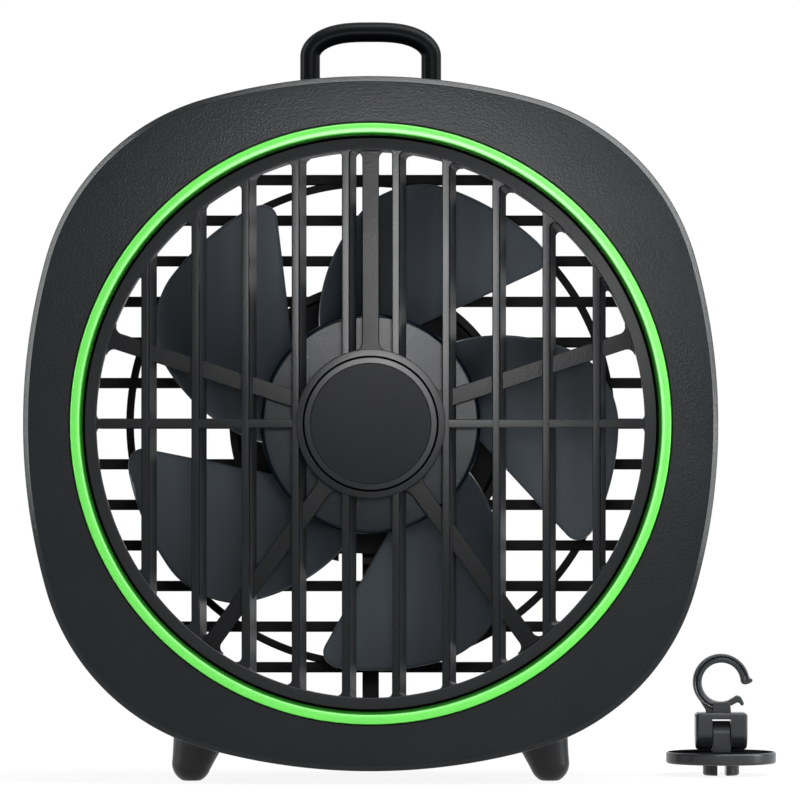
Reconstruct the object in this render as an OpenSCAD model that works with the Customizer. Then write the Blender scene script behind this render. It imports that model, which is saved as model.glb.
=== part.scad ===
// Clip fan: a portable box fan on four pegs, with a folding top handle,
// and beside it the loose hook that plugs into the back of its hub.
// X runs to the right, Y from the front to the back, Z up; the floor is Z = 0.

/* [Body] */
// Width and height of the rounded-square front frame
body_w = 212; // [206:1:218]
// Depth of the body, from the frame's face to the back
body_d = 66; // [64:1:72]
// Radius of the four bowed sides, as a share of the width
side_share = 0.8844; // [0.86:0.0001:0.91]
// Radius of the four corners, as a share of the width
corner_share = 0.3302; // [0.32:0.0001:0.34]
// Depth of the front frame
frame_d = 16; // [15:0.5:17]
// Wall of the front frame
frame_wall = 2.4; // [2:0.1:2.8]
// Chamfer round the frame's face
edge_chamfer = 1.7; // [1:0.1:2.2]
// How far the frame stands out past the rear shell
overhang = 6; // [5.6:0.1:6.4]
// Wall of the rear shell
shell_wall = 2; // [1.8:0.1:2.2]
// Rounding of the rear shell's back edge
back_round = 7; // [6:0.5:7.5]
// How far the feet reach below the frame
foot_drop = 4; // [3:0.5:6]

/* [Front grille] */
// Width of the frame's face beside the round opening
face_band = 14.05; // [13:0.05:15]
// Width of the green ring
ring_w = 3.8; // [3.2:0.1:4.4]
// How far the green ring stands proud of the frame
ring_proud = 0.7; // [0.4:0.1:1.2]
// Width of the grille's outer band
grille_band = 3.2; // [2.8:0.1:3.6]
// Depth of the grille
grille_d = 9.4; // [9:0.1:10]
// Pitch of the ten upright bars, as a share of the grille's inner radius
bar_share = 0.1829; // [0.176:0.0001:0.186]
// Width of a bar's front edge
bar_w = 2.3; // [1.8:0.1:2.8]
// Depth of a bar
bar_d = 6; // [5:0.1:6.2]
// How far a bar leans to the right over its depth
bar_lean = 2.15; // [1.6:0.05:2.6]
// Width of the five spokes behind the bars
spoke_w = 5.15; // [4.4:0.05:6]
// Radius of the cap in the middle of the grille
cap_r = 20.2; // [19:0.1:21]
// Width of the boss's rim round the cap
boss_rim = 2.6; // [2.2:0.1:3.4]

/* [Fan] */
// Gap between the blades' tips and the air duct
tip_gap = 7.8; // [6:0.1:10]
// Radius of the impeller's hub
hub_r = 33.8; // [33:0.1:35]
// Thickness of a blade at its middle
blade_t = 2; // [1.4:0.1:2.4]
// How far the motor's steel cup lies inside the hub
yoke_in = 5.3; // [4.8:0.1:6]
// Diameter of the motor's shaft
shaft_d = 3; // [3:0.1:3.4]

/* [Rear grille] */
// Pitch of the level bars, as a share of the air duct's radius
rear_share = 0.1473; // [0.143:0.0001:0.15]
// Height of a level bar
rear_bar_h = 3.3; // [2.6:0.1:3.8]
// Radius of the rear hub
rear_hub_r = 44.1; // [43.4:0.1:45]
// Radius of the socket that takes the hook's peg
socket_r = 5.8; // [5.6:0.05:6.2]

/* [Handle and feet] */
// Diameter of the handle's rod
rod_d = 6.1; // [5.4:0.1:6.4]
// Half the distance between the handle's legs
handle_x = 18.45; // [17:0.05:20]
// Height of the handle's top above the frame
handle_rise = 18.5; // [14:0.5:24]
// Outer radius at the handle's corners
handle_corner = 12; // [9:0.5:14]
// Height of the handle's pivot above the fan's axis, from the frame's top
pivot_drop = 4.8; // [4.6:0.1:5.2]
// Radius of a foot where it meets the shell
foot_r = 8; // [7.4:0.1:8.6]
// Lean of a foot
foot_lean = 16; // [12:1:20]
// Distance of a foot's socket from the middle, as a share of the width
foot_share = 0.2481; // [0.23:0.0001:0.255]

/* [Power] */
// Gap round a battery cell in its corner
cell_gap = 0.48; // [0.3:0.01:1.2]
// Room in the body's depth before and behind a cell
cell_ends = 16; // [15.6:0.1:20]
// Radius of the power button
button_r = 4.4; // [3.8:0.1:4.6]
// Travel of the power button
button_travel = 0.8; // [0.5:0.1:0.9]

/* [Hook] */
// Distance of the hook from the fan's axis, to the right
hook_x = 109.7; // [109:0.1:125]
// Depth at which the hook stands, from the frame's face
hook_y = 56; // [48:0.5:62]
// Radius of the hook's disc
disc_r = 17.2; // [15:0.1:18]
// Thickness of the hook's disc
disc_t = 3.1; // [2.6:0.1:3.6]
// Length of the split peg under the disc
peg_l = 3.7; // [3.2:0.1:4.2]
// Width of the hook's block
block_w = 16.2; // [15:0.1:18]
// Width of the lug in the block
lug_w = 5.2; // [4.4:0.1:6]
// Inner radius of the hook's ring
loop_r = 6.1; // [5.6:0.1:6.6]
// Thickness of the hook's ring
loop_t = 2.75; // [2.4:0.05:3.2]
// Thickness of the hook from front to back
loop_d = 5; // [4:0.1:6]

/* [Hidden] */
$fn = 96;

// Clearances
fit = 0.05;
slip = 0.1;
free = 0.3;

// Outline of the body: two arcs that meet at a tangent
side_r = side_share * body_w;
corner_r = corner_share * body_w;
axis_h = body_w / 2 + foot_drop;
side_c = body_w / 2 - side_r;
arc_k = side_r - corner_r;
corner_c = (side_c + sqrt(2 * arc_k * arc_k - side_c * side_c)) / 2;
join_a = atan2(corner_c, corner_c - side_c);
diag_r = corner_c * sqrt(2) + corner_r;

// Radii of the front, from the frame inwards
opening_r = body_w / 2 - face_band;
ring_ro = opening_r - 0.25;
ring_ri = ring_ro - ring_w;
pocket_r = ring_ri - 0.7;
grille_ro = pocket_r - 0.4;
grille_ri = grille_ro - grille_band;
boss_r = cap_r + boss_rim;
lip_r = grille_ri + 1.3;
duct_r0 = grille_ri + 0.8;
duct_r1 = duct_r0 + 2.2;
duct_wall = 1.8;
bar_pitch = bar_share * grille_ri;
rear_pitch = rear_share * duct_r1;
tip_r = duct_r0 - tip_gap;

// Depths, from the frame's face to the back
face_t = 2.6;
ring_seat = 3.7;
seat_t = 1.8;
grille_y0 = 1.8;
grille_y1 = grille_y0 + grille_d;
bar_y0 = grille_y0 + 0.4;
bar_y1 = bar_y0 + bar_d;
collar_y = grille_y1 + 2.2;
boss_y0 = 0.6;
boss_y1 = grille_y1 + 0.8;
cap_floor = 4.6;
hub_y0 = boss_y1 + 2.5;
recess_y = body_d - 3.5;
plate_y0 = body_d - 10.5;
plate_y1 = plate_y0 + 2.5;
motor_y0 = plate_y0 - 8.5;
motor_y1 = motor_y0 + 3;
hub_y1 = motor_y0 - 5;
cover_y0 = body_d - 3;
shell_y0 = frame_d / 2;
shell_in = overhang + slip;
shell_draft = 0.4;
back_y = body_d - back_round;
back_in = shell_in + shell_draft + back_round;
wall_in = shell_in + shell_draft + shell_wall;

// Depths of the motor
yoke_r = hub_r - yoke_in;
yoke_y0 = hub_y0 + 5;
yoke_t = 1.2;
tube_y0 = yoke_y0 + yoke_t + 0.8;
bearing_w = 3;
bearing_ro = shaft_d / 2 + 2.5;
tube_ro = bearing_ro + 2.5;
core_y0 = tube_y0 + 6;
core_y1 = core_y0 + 10;
core_ro = yoke_r - 4;
slot_rc = core_ro - 8;
tooth_w = 2.14;
slot_r = slot_rc * sin(15) - tooth_w / 2;
coil_in = tooth_w + 0.66;
coil_t = 1.2;
rear_bearing_y = motor_y1 - 2 - bearing_w;
motor_screw_r = rear_hub_r - 11.1;
board_r = motor_screw_r - 5;
board_bore = tube_ro + 2.5;
board_post_r = board_r - 6;

// Screws that hold the shells together
screw_r = opening_r + 4.05;
screw_seat = frame_d + 8;
screw_angles = [for (q = [0:3]) each [90 * q + 26, 90 * q + 64]];

// Corner pockets: cells below, controls above on the right
cell_y0 = 7;
cell_y1 = cell_y0 + body_d - cell_ends;
cell_in = duct_r1 + duct_wall - 0.1;
cell_out = diag_r - wall_in;
cell_rc = (cell_in + cell_out) / 2;
cell_d = cell_out - cell_in - 2 * cell_gap;
ctrl_rc = diag_r - 17.5;
board_y1 = body_d - 10.4;
button_at = [7, ctrl_rc];
usb_at = [-8.5, ctrl_rc];

// Handle
rod_r = rod_d / 2;
handle_top = body_w / 2 + handle_rise;
pivot_z = body_w / 2 - pivot_drop;
pivot_y = frame_d + 12;
recess_z = pivot_z - rod_r - 0.55;
ear_x0 = handle_x + rod_r + 0.7;
ear_t = 3.2;
ear_r = 3.3;
pin_r = 1.25;
bend_r = handle_corner - rod_r;
bay_y0 = pivot_y - 7;
bay_y1 = pivot_y + handle_top - pivot_z + 2;

// Feet
foot_x = foot_share * body_w;
foot_cone = 15;
foot_end = 5;
foot_h = (foot_r - foot_end * cos(foot_cone)) / tan(foot_cone) - foot_end * sin(foot_cone);
foot_z = -axis_h + foot_h * cos(foot_lean) + foot_end - 0.6;
foot_y0 = frame_d + 9;
foot_y1 = body_d - 12;

// Hook
disc_z = peg_l;
disc_top = disc_z + disc_t;
pivot_r = 5;
hook_pin_z = disc_top + 6.2;
block_top = hook_pin_z + 6.6;
loop_z = block_top + loop_r + loop_t + 0.65;
peg_r = socket_r - slip;

// The whole set stands with its middle over the origin
set_x0 = -body_w / 2;
set_x1 = hook_x + disc_r;
set_y0 = -ring_proud;
set_y1 = max(body_d + 0.9, hook_y + disc_r);
fan_at = [-(set_x0 + set_x1) / 2, -(set_y0 + set_y1) / 2, axis_h];
hook_at = fan_at + [hook_x, hook_y, -axis_h];

// Points of the body's outline, drawn in by an inset
function quarter(d) = concat(
    [for (i = [0:3]) let (a = join_a * i / 4)
        [side_c + (side_r - d) * cos(a), (side_r - d) * sin(a)]],
    [for (i = [0:13]) let (a = join_a + (90 - 2 * join_a) * i / 14)
        [corner_c + (corner_r - d) * cos(a), corner_c + (corner_r - d) * sin(a)]],
    [for (i = [0:3]) let (a = 90 - join_a + join_a * i / 4)
        [(side_r - d) * cos(a), side_c + (side_r - d) * sin(a)]]);
function turn(p, a) = [p[0] * cos(a) - p[1] * sin(a), p[0] * sin(a) + p[1] * cos(a)];
function outline(d) = [for (q = [0:3]) for (p = quarter(d)) turn(p, 90 * q)];

// A solid through outlines given as [inset, depth], closed at both ends
module skin(levels) {
    n = len(outline(0));
    m = len(levels);
    pts = [for (l = levels) for (p = outline(l[0])) [p[0], l[1], p[1]]];
    sides = [for (i = [0:m - 2]) for (j = [0:n - 1])
        [i * n + j, i * n + (j + 1) % n, (i + 1) * n + (j + 1) % n, (i + 1) * n + j]];
    first = [for (j = [0:n - 1]) n - 1 - j];
    last = [for (j = [0:n - 1]) (m - 1) * n + j];
    polyhedron(pts, concat([first], sides, [last]), convexity = 6);
}

// A flat shape in X and Z, given depth from y0 to y1
module slab(y0, y1) {
    translate([0, y1, 0])
        rotate([90, 0, 0])
            linear_extrude(y1 - y0)
                children();
}

// A turned solid on the fan's axis, drawn as radius and depth
module turned() {
    rotate([-90, 0, 0])
        rotate_extrude()
            children();
}

// A round bar along the depth
module rod_y(r, y0, y1) {
    translate([0, y0, 0])
        rotate([-90, 0, 0])
            cylinder(r = r, h = y1 - y0);
}

// A round bar along X
module rod_x(r, x0, x1) {
    translate([x0, 0, 0])
        rotate([0, 90, 0])
            cylinder(r = r, h = x1 - x0);
}

// A place at an angle and radius round the axis, its own Z pointing outwards
module polar(a, r) {
    rotate([0, 90 - a, 0])
        translate([0, 0, r])
            children();
}

// A place in the controls' corner, as [along, outwards]
module corner_at(p) {
    rotate([0, 45, 0])
        translate([-p[0], 0, p[1]])
            children();
}

// FRONT
// Moulded frame: face, skirt, seats for the ring and the grille, screw bosses
module front_frame() {
    color("dimgray")
    difference() {
        union() {
            difference() {
                skin([[edge_chamfer, 0], [0, edge_chamfer], [0, frame_d - 1.4],
                    [1.4, frame_d], [overhang, frame_d], [overhang, frame_d - frame_wall],
                    [frame_wall, frame_d - frame_wall], [frame_wall, face_t]]);
                rod_y(opening_r, -1, face_t + 1);
            }
            turned()
                polygon([[pocket_r, ring_seat], [opening_r, ring_seat],
                    [opening_r, 1], [opening_r + 2, 1], [opening_r + 2, ring_seat + seat_t],
                    [pocket_r + 1.3, ring_seat + seat_t], [pocket_r + 1.3, collar_y],
                    [lip_r, collar_y], [lip_r, grille_y1], [pocket_r, grille_y1]]);
            for (a = screw_angles)
                polar(a, screw_r)
                    rod_y(4, face_t - 0.6, screw_seat - 2.4);
            for (a = [225, 315])
                polar(a, cell_rc)
                    rod_y(5, face_t - 0.6, cell_y0 - 0.8);
        }
        for (a = screw_angles)
            polar(a, screw_r)
                rod_y(1.3, 6, frame_d + 8);
    }
}

// Glossy bead in the frame's groove
module accent_ring() {
    mid = (ring_ro + ring_ri) / 2;
    rise = ring_w / 2 - ring_proud;
    color("limegreen")
    turned()
        union() {
            translate([mid, rise])
                circle(r = ring_w / 2);
            translate([ring_ri, rise])
                square([ring_w, ring_seat - rise]);
        }
}

// Section of one leaning bar, in X and depth
module bar_section() {
    polygon([[-bar_w / 2, bar_y0], [bar_w / 2, bar_y0],
        [bar_w / 2 + bar_lean, bar_y1], [-bar_w / 2 + bar_lean, bar_y1]]);
}

// Moulded grille: band, ten leaning bars, cross bar, five spokes and boss
module front_grille() {
    color("gray")
    difference() {
        union() {
            turned()
                polygon([[grille_ri, grille_y0], [grille_ro, grille_y0],
                    [grille_ro, grille_y1], [grille_ri - 0.3, grille_y1]]);
            intersection() {
                rod_y(grille_ri + 1.2, 0, grille_y1);
                union() {
                    for (k = [-4.5:1:4.5])
                        translate([k * bar_pitch, 0, -grille_ro])
                            linear_extrude(2 * grille_ro)
                                bar_section();
                    translate([-grille_ro, bar_y0, -1.35])
                        cube([2 * grille_ro, bar_d, 2.7]);
                    for (k = [0:4])
                        polar(90 + 72 * k, 0)
                            translate([-spoke_w / 2, bar_y1 - 0.4, 0])
                                cube([spoke_w, grille_y1 - bar_y1 + 0.4, grille_ro]);
                }
            }
            turned()
                polygon([[0, cap_floor], [cap_r + 0.4, cap_floor], [cap_r + 0.4, boss_y0],
                    [boss_r - 1.6, boss_y0], [boss_r, boss_y0 + 1.6], [boss_r, boss_y1 - 1],
                    [boss_r - 1, boss_y1], [0, boss_y1]]);
        }
        rod_y(cap_r + 0.4, -1, cap_floor);
    }
}

// Plain round cap in the boss
module grille_cap() {
    color("dimgray")
    turned()
        polygon([[0, -0.4], [cap_r - 1.8, -0.4], [cap_r, 0.9], [cap_r, 3],
            [cap_r - 2, 3], [cap_r - 2, cap_floor], [0, cap_floor]]);
}

// REAR
// Moulded rear shell with the air duct, screw wells, handle ears and foot sockets
module rear_shell() {
    turns = [0, 22.5, 45, 67.5, 90];
    in_r = back_round - shell_wall;
    levels = concat(
        [for (i = [4:-1:0]) [back_in - in_r * cos(turns[i]), back_y + in_r * sin(turns[i])]],
        [[shell_in + shell_wall, shell_y0], [shell_in, shell_y0]],
        [for (i = [0:4]) [back_in - back_round * cos(turns[i]),
            back_y + back_round * sin(turns[i])]]);
    color("dimgray")
    difference() {
        union() {
            difference() {
                skin(levels);
                rod_y(duct_r1 + 2.7, back_y, body_d + 1);
            }
            turned()
                polygon([[duct_r0, collar_y], [duct_r0 + duct_wall, collar_y],
                    [duct_r1 + duct_wall, recess_y - 2.5], [duct_r1 + 4.9, recess_y - 2.5],
                    [duct_r1 + 4.9, body_d - 1.5], [duct_r1 + 2.7, body_d - 1.5],
                    [duct_r1 + 2.7, recess_y], [duct_r1, recess_y]]);
            for (a = screw_angles)
                polar(a, screw_r)
                    rod_y(4.4, screw_seat - 2.4, body_d - 1);
            for (a = [225, 315])
                polar(a, cell_rc)
                    rod_y(5, cell_y1 + 0.8, body_d - 1.5);
            for (x = [-15.3, 15.3])
                corner_at([x, ctrl_rc])
                    rod_y(1.7, board_y1, body_d - 1.5);
            intersection() {
                translate([-ear_x0 - 2.8, bay_y0 - 2, recess_z - 2.2])
                    cube([2 * ear_x0 + 5.6, bay_y1 - bay_y0 + 4, 3.2]);
                slab(0, body_d)
                    polygon(outline(shell_in + 1));
            }
            for (s = [-1, 1])
                translate([s * (ear_x0 + ear_t / 2), pivot_y, 0]) {
                    translate([0, 0, pivot_z])
                        rod_x(ear_r, -ear_t / 2, ear_t / 2);
                    translate([-ear_t / 2, -ear_r, recess_z - 2])
                        cube([ear_t, 2 * ear_r, pivot_z - recess_z + 2]);
                }
            for (y = [foot_y0, foot_y1])
                for (s = [-1, 1])
                    translate([s * foot_x, y, foot_z])
                        rotate([0, -s * foot_lean, 0])
                            cylinder(r = foot_r, h = 8);
        }
        for (a = screw_angles)
            polar(a, screw_r) {
                rod_y(3.3, screw_seat, body_d + 1);
                rod_y(1.7, screw_seat - 4, screw_seat + 1);
            }
        translate([-ear_x0, bay_y0, recess_z])
            cube([2 * ear_x0, bay_y1 - bay_y0, 20]);
        for (s = [-1, 1])
            translate([s * (ear_x0 + ear_t / 2), pivot_y, pivot_z])
                rod_x(pin_r, -ear_t / 2 - 1, ear_t / 2 + 1);
        for (y = [foot_y0, foot_y1])
            for (s = [-1, 1])
                translate([s * foot_x, y, foot_z])
                    rotate([0, -s * foot_lean, 0])
                        translate([0, 0, -1])
                            cylinder(r = 3, h = 7);
        corner_at(button_at)
            rod_y(button_r + 0.2, body_d - 4, body_d + 1);
        corner_at(usb_at)
            translate([-4.7, body_d - 4, -1.85])
                cube([9.4, 6, 3.7]);
    }
}

// Moulded rear grille with level bars, two rings, cable channel and hub
module rear_grille() {
    mid_r = duct_r1 - 11;
    color("dimgray")
    difference() {
        union() {
            turned()
                polygon([[duct_r1 - 0.2, recess_y], [duct_r1 + 2.4, recess_y],
                    [duct_r1 + 2.4, body_d], [duct_r1 - 0.2, body_d]]);
            difference() {
                intersection() {
                    rod_y(duct_r1 + 0.9, recess_y, body_d - 0.5);
                    union() {
                        for (k = [-6:6])
                            translate([-duct_r1 - 2, recess_y, k * rear_pitch - rear_bar_h / 2])
                                cube([2 * duct_r1 + 4, 3, rear_bar_h]);
                        translate([-2.6, recess_y, -duct_r1 - 2])
                            cube([5.2, 3, 2 * duct_r1 + 4]);
                    }
                }
                rod_y(rear_hub_r - 1.2, 0, body_d + 1);
            }
            turned()
                translate([mid_r - 1.2, recess_y])
                    square([2.4, 3]);
            turned()
                polygon([[0, plate_y0], [rear_hub_r - 2.5, plate_y0],
                    [rear_hub_r - 2.5, motor_y1 - 1], [rear_hub_r, motor_y1 - 1],
                    [rear_hub_r, body_d - 0.5], [rear_hub_r - 2.5, body_d - 0.5],
                    [rear_hub_r - 2.5, plate_y1], [0, plate_y1]]);
        }
        for (a = [30, 150, 270])
            polar(a, motor_screw_r)
                rod_y(1.6, plate_y0 - 1, plate_y1 + 1);
        for (s = [-1, 1])
            translate([s * 6.3 - 3.7, motor_y0, -rear_hub_r - 2])
                cube([7.4, body_d - motor_y0 + 1, 5.5]);
    }
}

// Round cover over the back of the hub, with the socket for the hook
module hub_cover() {
    r = rear_hub_r - 2.5 - slip;
    color("dimgray")
    difference() {
        union() {
            turned()
                polygon([[0, cover_y0], [r - 1.4, cover_y0], [r - 1.4, plate_y1],
                    [r, plate_y1], [r, body_d - 0.8], [r - 0.8, body_d], [0, body_d]]);
            rod_y(socket_r + 2.6, plate_y1, body_d);
        }
        rod_y(socket_r, body_d - 5.5, body_d + 1);
        for (s = [-1, 1])
            translate([s * 6.3 - 3.7, motor_y0, -rear_hub_r - 2])
                cube([7.4, body_d - motor_y0 + 1, 5.5]);
    }
}

// ROTOR
// Where the straight rear edge and the curved front edge of a blade lie at a radius
function edge_back(r) = 70.3 - acos(0.6272 * hub_r / r);
function edge_front(r) = 73.58 - 27.34 * (r / hub_r - 1);
function tip_at(t) = tip_r
    - (t < 0.12 ? 5.2 * pow(1 - t / 0.12, 2.2) : 0)
    - (t > 0.72 ? 8.4 * pow((t - 0.72) / 0.28, 2.8) : 0);
function blade_at(s, t, side) = let (
    root = hub_r - 1.6,
    r = root + s * (tip_at(t) - root),
    a = edge_back(r) * (1 - t) + edge_front(r) * t,
    bow = 4 * t * (1 - t),
    y = (hub_y1 - 1 - 1.5 * s) * (1 - t) + (hub_y0 + 3.5 + 4 * s) * t + 1.6 * bow,
    half = blade_t * (0.22 + 0.28 * bow))
    [r * cos(a), y + side * half, r * sin(a)];

module blade() {
    ns = 7;
    nt = 12;
    w = nt + 1;
    count = (ns + 1) * w;
    pts = [for (side = [-1, 1]) for (i = [0:ns]) for (j = [0:nt])
        blade_at(i / ns, j / nt, side)];
    front = [for (i = [0:ns - 1]) for (j = [0:nt - 1]) each [
        [i * w + j, i * w + j + 1, (i + 1) * w + j + 1],
        [i * w + j, (i + 1) * w + j + 1, (i + 1) * w + j]]];
    back = [for (f = front) [f[2] + count, f[1] + count, f[0] + count]];
    rim = concat([for (j = [0:nt]) j], [for (i = [1:ns]) i * w + nt],
        [for (j = [nt - 1:-1:0]) ns * w + j], [for (i = [ns - 1:-1:1]) i * w]);
    n = len(rim);
    edge = [for (k = [0:n - 1]) let (a = rim[k], b = rim[(k + 1) % n]) each [
        [b, a, a + count], [b, a + count, b + count]]];
    polyhedron(pts, concat(front, back, edge), convexity = 4);
}

// Moulded impeller: hub cup and five blades
module impeller() {
    color("slategray")
    union() {
        turned()
            polygon([[0, hub_y0], [hub_r - 2, hub_y0], [hub_r - 1, hub_y0 + 0.27],
                [hub_r - 0.27, hub_y0 + 1], [hub_r, hub_y0 + 2], [hub_r, hub_y1],
                [hub_r - 2.5, hub_y1], [hub_r - 2.5, hub_y1 - 3.5], [yoke_r, hub_y1 - 3.5],
                [yoke_r, hub_y0 + 10], [hub_r - 2.5, hub_y0 + 8], [hub_r - 2.5, hub_y0 + 2.2],
                [6, hub_y0 + 2.2], [6, yoke_y0], [shaft_d / 2, yoke_y0],
                [shaft_d / 2, hub_y0 + 2.4], [0, hub_y0 + 2.4]]);
        for (k = [0:4])
            rotate([0, -(44.5 + 72 * k), 0])
                blade();
    }
}

// Steel cup pressed into the hub
module rotor_yoke() {
    color("silver")
    turned()
        polygon([[shaft_d / 2, yoke_y0], [yoke_r, yoke_y0], [yoke_r, hub_y1 - 2],
            [yoke_r - 1, hub_y1 - 2], [yoke_r - 1, yoke_y0 + yoke_t],
            [shaft_d / 2, yoke_y0 + yoke_t]]);
}

// Ring magnet in the cup
module rotor_magnet() {
    color("darkslategray")
    turned()
        translate([yoke_r - 3.5, core_y0 - 1])
            square([2.5, core_y1 - core_y0 + 2]);
}

// Steel shaft
module motor_shaft() {
    color("silver")
    rod_y(shaft_d / 2, hub_y0 + 2.4, motor_y1 - 0.4);
}

// Spring clip that keeps the shaft in
module shaft_clip() {
    color("silver")
    turned()
        translate([shaft_d / 2, rear_bearing_y + bearing_w + free])
            square([1.5, 0.5]);
}

// MOTOR
// Motor plate with the tube that carries bearings and stator
module motor_base() {
    color("lightgray")
    difference() {
        union() {
            turned()
                polygon([[bearing_ro, tube_y0], [tube_ro, tube_y0], [tube_ro, core_y1],
                    [tube_ro + 2, core_y1], [tube_ro + 2, motor_y0],
                    [rear_hub_r - 3.6, motor_y0], [rear_hub_r - 3.6, motor_y1],
                    [bearing_ro, motor_y1], [bearing_ro, rear_bearing_y],
                    [bearing_ro - 0.6, rear_bearing_y],
                    [bearing_ro - 0.6, tube_y0 + 0.5 + bearing_w],
                    [bearing_ro, tube_y0 + 0.5 + bearing_w]]);
            for (a = [30, 150, 270])
                polar(a, motor_screw_r)
                    rod_y(3, motor_y1 - 1, plate_y0);
            for (a = [90, 210, 330])
                polar(a, board_post_r)
                    rod_y(2, motor_y1 - 1, motor_y1 + 1.5);
        }
        for (a = [30, 150, 270])
            polar(a, motor_screw_r)
                rod_y(1.45, motor_y1, plate_y0 + 1);
    }
}

// One ball bearing with its front at a depth
module bearing(y) {
    color("silver")
    turned()
        translate([shaft_d / 2 + 0.03, y])
            square([bearing_ro - shaft_d / 2 - 0.03, bearing_w]);
}

module front_bearing() {
    bearing(tube_y0 + 0.5);
}

module rear_bearing() {
    bearing(rear_bearing_y);
}

// Laminated core with twelve slots
module stator_core() {
    color("gray")
    slab(core_y0, core_y1)
        difference() {
            circle(r = core_ro);
            circle(r = tube_ro);
            for (k = [0:11])
                rotate(30 * k + 15) {
                    translate([slot_rc, 0])
                        circle(r = slot_r);
                    translate([slot_rc, -0.8])
                        square([core_ro, 1.6]);
                }
        }
}

// Twelve windings, one round each tooth
module stator_coils() {
    color("peru")
    for (k = [0:11])
        polar(30 * k, slot_rc * cos(15) - 1)
            difference() {
                translate([-coil_in / 2 - coil_t, core_y0 - coil_t, 0])
                    cube([coil_in + 2 * coil_t, core_y1 - core_y0 + 2 * coil_t, 2]);
                translate([-coil_in / 2, core_y0, -1])
                    cube([coil_in, core_y1 - core_y0, 4]);
            }
}

// Round motor board behind the motor plate
module motor_board() {
    color("darkgreen")
    difference() {
        rod_y(board_r, motor_y1 + 1.5, motor_y1 + 3.1);
        rod_y(board_bore, motor_y1, motor_y1 + 4);
    }
}

// Three screws through the rear hub into the motor plate
module motor_screws() {
    color("silver")
    for (a = [30, 150, 270])
        polar(a, motor_screw_r) {
            rod_y(2.8, plate_y1, plate_y1 + 1.8);
            rod_y(1.4, motor_y1 + 0.6, plate_y1 + 0.5);
        }
}

// Eight long screws from the back into the front frame
module housing_screws() {
    color("silver")
    for (a = screw_angles)
        polar(a, screw_r)
            difference() {
                union() {
                    rod_y(2.9, screw_seat, screw_seat + 2.2);
                    rod_y(1.25, 9, screw_seat + 0.5);
                }
                for (t = [0, 90])
                    rotate([0, t, 0])
                        translate([-1.7, screw_seat + 1.1, -0.35])
                            cube([3.4, 2, 0.7]);
            }
}

// POWER
// One cell in its corner
module cell(a) {
    color("royalblue")
    polar(a, cell_rc)
        rod_y(cell_d / 2, cell_y0, cell_y1);
}

module left_cell() {
    cell(225);
}

module right_cell() {
    cell(315);
}

// Four contact plates at the cells' ends
module cell_contacts() {
    color("gold")
    for (a = [225, 315])
        for (y = [cell_y0 - 0.8, cell_y1])
            polar(a, cell_rc)
                rod_y(6, y, y + 0.8);
}

// Board in the upper corner, behind the button and the inlet
module control_board() {
    color("darkgreen")
    corner_at([0, ctrl_rc])
        translate([-17, board_y1 - 1.6, -5.75])
            cube([34, 1.6, 11.5]);
}

// Body of the push switch
module power_switch() {
    color("black")
    corner_at(button_at)
        difference() {
            translate([-3, board_y1, -3])
                cube([6, 3.6, 6]);
            rod_y(1.65, board_y1 + 0.6, board_y1 + 5);
        }
}

// Plunger of the push switch, carried by the button
module switch_plunger() {
    color("white")
    corner_at(button_at)
        rod_y(1.6, board_y1 + 2, board_y1 + 4.6);
}

// Round power button in the back
module power_button() {
    color("limegreen")
    corner_at(button_at)
        turned()
            polygon([[0, board_y1 + 4.6], [1.9, board_y1 + 4.6], [1.9, board_y1 + 6.6],
                [button_r + 0.8, board_y1 + 6.6], [button_r + 0.8, body_d - shell_wall - free],
                [button_r, body_d - shell_wall - free], [button_r, body_d + 0.4],
                [button_r - 0.5, body_d + 0.9], [0, body_d + 0.9]]);
}

// Charging inlet: a flat metal shell with its tongue
module usb_socket() {
    color("silver")
    corner_at(usb_at) {
        difference() {
            translate([-4.5, board_y1, -1.65])
                cube([9, body_d - 0.2 - board_y1, 3.3]);
            translate([-4.2, board_y1 + 3, -1.35])
                cube([8.4, 12, 2.7]);
        }
        translate([-3.3, board_y1 + 2, -0.35])
            cube([6.6, body_d - 3 - board_y1, 0.7]);
    }
}

// HANDLE AND FEET
// Bent rod with a pin hole in each leg
module handle() {
    leg_top = handle_top - handle_corner;
    color("black")
    translate([0, pivot_y, 0])
        difference() {
            union() {
                for (s = [-1, 1]) {
                    translate([s * handle_x, 0, pivot_z])
                        sphere(r = rod_r);
                    translate([s * handle_x, 0, pivot_z])
                        cylinder(r = rod_r, h = leg_top - pivot_z);
                }
                for (s = [0, 1])
                    mirror([s, 0, 0])
                        translate([handle_x - bend_r, 0, leg_top])
                            rotate([90, 0, 0])
                                rotate_extrude(angle = 90)
                                    translate([bend_r, 0])
                                        circle(r = rod_r);
                translate([0, 0, handle_top - rod_r])
                    rod_x(rod_r, -(handle_x - bend_r), handle_x - bend_r);
            }
            for (s = [-1, 1])
                translate([s * handle_x, 0, pivot_z])
                    rod_x(pin_r + fit, -rod_r - 1, rod_r + 1);
        }
}

// Two pins, pressed into the ears
module handle_pins() {
    color("silver")
    for (s = [-1, 1])
        translate([s * (ear_x0 + ear_t / 2), pivot_y, pivot_z])
            rotate([0, 90 - 90 * s, 0])
                rod_x(pin_r, handle_x - rod_r + 0.6 - ear_x0 - ear_t / 2, ear_t / 2);
}

// One rubber foot at a side and a depth, flattened on the floor
module foot(s, y) {
    color("black")
    difference() {
        translate([s * foot_x, y, foot_z])
            rotate([0, 180 - s * foot_lean, 0]) {
                cylinder(r1 = foot_r, r2 = foot_end * cos(foot_cone),
                    h = foot_h + foot_end * sin(foot_cone));
                translate([0, 0, foot_h])
                    sphere(r = foot_end);
                translate([0, 0, -5])
                    cylinder(r = 3, h = 5.5);
            }
        translate([s * foot_x - 30, y - 30, -axis_h - 20])
            cube([60, 60, 20]);
    }
}

module front_left_foot() {
    foot(-1, foot_y0);
}

module front_right_foot() {
    foot(1, foot_y0);
}

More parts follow.
